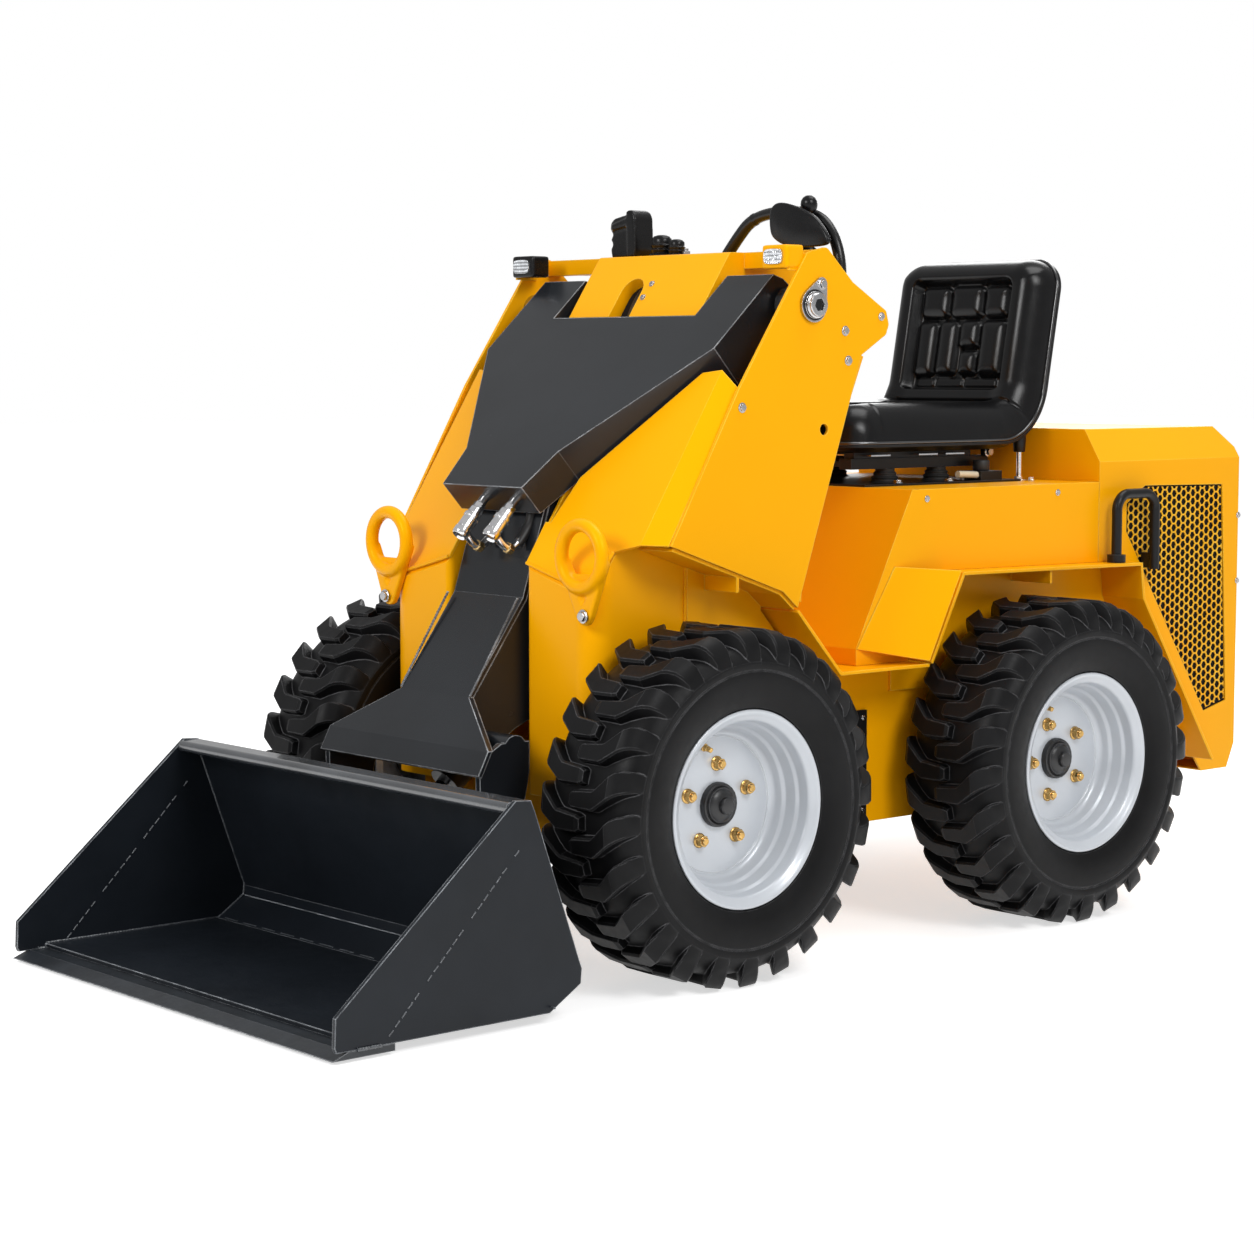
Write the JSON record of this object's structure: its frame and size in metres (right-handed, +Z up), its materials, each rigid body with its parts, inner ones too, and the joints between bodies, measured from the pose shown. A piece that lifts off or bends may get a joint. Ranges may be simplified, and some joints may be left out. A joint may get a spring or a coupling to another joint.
{
  "type": "compact ride-on skid steer loader with one middle boom and a bucket",
  "caption": "Compact yellow skid steer loader with one middle boom, a black bucket, wheels with chunky tyres, an open seat and a square engine hood.",
  "frame": {"origin": "on the ground under the middle of the whole machine's bounding box, in the middle plane", "axes": "+Z up; the bucket faces -Y; +X is the machine's left side"},
  "size_m": [1.046, 2.383, 1.342],
  "materials": {
    "yellow_paint": "glossy powder coat",
    "black_paint": "glossy charcoal paint",
    "bucket_paint": "satin blue-black paint",
    "satin_black_steel": "satin black paint",
    "cylinder_chrome": "hard chrome",
    "zinc_steel": "bright zinc plate",
    "bare_steel": "ground steel edge",
    "engine_iron": "dark cast iron",
    "black_plastic": "moulded plastic",
    "black_vinyl": "glossy vinyl",
    "rim_silver": "silver paint",
    "tyre_rubber": "matt rubber"
  },
  "bodies": {
    "machine": {"chassis_frame": "yellow_paint", "chassis_covers": "satin_black_steel", "footwell_floor": "yellow_paint", "footwell_wall": "yellow_paint", "tower_plate_left": "yellow_paint", "tower_plate_right": "yellow_paint", "boom_pivots": "zinc_steel", "front_arches": "yellow_paint", "rear_fenders": "yellow_paint", "bonnet_left": "yellow_paint", "bonnet_right": "yellow_paint", "front_panel_left": "yellow_paint", "front_panel_right": "yellow_paint", "tie_rings": "yellow_paint", "console": "yellow_paint", "work_lamps": "black_plastic", "hand_controls": "black_plastic", "control_pad": "black_plastic", "grab_handle": "black_plastic", "seat_box": "yellow_paint", "step_panels": "yellow_paint", "engine_hood": "yellow_paint", "side_grilles": "yellow_paint", "engine_block": "engine_iron", "handrails": "satin_black_steel", "seat_slides": "satin_black_steel", "seat_pan": "satin_black_steel", "seat_cushion": "black_vinyl", "seat_back": "black_vinyl", "seat_strut": "cylinder_chrome", "hub_motors": "zinc_steel"},
    "rear_door": {"rear_door": "yellow_paint"},
    "boom": {"boom_hood": "black_paint", "boom_face": "black_paint", "boom_frame": "black_paint", "cylinder_lugs": "black_paint", "couplers": "cylinder_chrome"},
    "lift_barrel": {"lift_cylinder_barrel": "black_paint"},
    "lift_rod": {"lift_cylinder_rod": "cylinder_chrome"},
    "tilt_barrel": {"tilt_cylinder_barrel": "black_paint"},
    "tilt_rod": {"tilt_cylinder_rod": "cylinder_chrome"},
    "bucket": {"bucket_shell": "bucket_paint", "bucket_bar": "bucket_paint", "cutting_edge": "bare_steel", "quick_attach": "bucket_paint"},
    "wheel_front_left": {"rim_front_left": "rim_silver", "tyre_front_left": "tyre_rubber"},
    "wheel_front_right": {"rim_front_right": "rim_silver", "tyre_front_right": "tyre_rubber"},
    "wheel_rear_left": {"rim_rear_left": "rim_silver", "tyre_rear_left": "tyre_rubber"},
    "wheel_rear_right": {"rim_rear_right": "rim_silver", "tyre_rear_right": "tyre_rubber"}
  },
  "joints": [
    {"name": "boom_lift", "type": "hinge", "parent": "machine", "child": "boom", "pos_m": [0, -0.0995, 1.146], "axis": [-1, 0, 0], "range_deg": [0, 90]},
    {"name": "bucket_tilt", "type": "hinge", "parent": "boom", "child": "bucket", "pos_m": [0, -0.6755, 0.13], "axis": [1, 0, 0], "range_deg": [-15, 90]},
    {"name": "lift_barrel_swing", "type": "hinge", "parent": "machine", "child": "lift_barrel", "pos_m": [0, -0.1805, 0.4], "axis": [1, 0, 0], "range_deg": [-10, 10]},
    {"name": "lift_rod_slide", "type": "slide", "parent": "lift_barrel", "child": "lift_rod", "axis": [0, 0, 1], "range_m": [-0.001, 0.2306]},
    {"name": "tilt_barrel_swing", "type": "hinge", "parent": "boom", "child": "tilt_barrel", "pos_m": [0, -0.3705, 0.52], "axis": [1, 0, 0], "range_deg": [-10, 10]},
    {"name": "tilt_rod_slide", "type": "slide", "parent": "tilt_barrel", "child": "tilt_rod", "axis": [0, -0.7625, -0.647], "range_m": [-0.03, 0.1551]},
    {"name": "rear_door_hinge", "type": "hinge", "parent": "machine", "child": "rear_door", "pos_m": [0.266, 1.1855, 0.59], "axis": [0, 0, -1], "range_deg": [0, 100]},
    {"name": "wheel_front_left_spin", "type": "hinge", "parent": "machine", "child": "wheel_front_left", "pos_m": [0.415, -0.362, 0.304], "axis": [1, 0, 0], "continuous": true},
    {"name": "wheel_front_right_spin", "type": "hinge", "parent": "machine", "child": "wheel_front_right", "pos_m": [-0.415, -0.362, 0.304], "axis": [1, 0, 0], "continuous": true},
    {"name": "wheel_rear_left_spin", "type": "hinge", "parent": "machine", "child": "wheel_rear_left", "pos_m": [0.415, 0.501, 0.304], "axis": [1, 0, 0], "continuous": true},
    {"name": "wheel_rear_right_spin", "type": "hinge", "parent": "machine", "child": "wheel_rear_right", "pos_m": [-0.415, 0.501, 0.304], "axis": [1, 0, 0], "continuous": true}
  ],
  "couplings": [
    {"joint": "lift_barrel_swing", "follows": "boom_lift", "ratio": 0.049934},
    {"joint": "lift_rod_slide", "follows": "boom_lift", "m_per_rad": 0.14614},
    {"joint": "tilt_barrel_swing", "follows": "bucket_tilt", "ratio": 0.052066},
    {"joint": "tilt_rod_slide", "follows": "bucket_tilt", "m_per_rad": 0.098114}
  ]
}
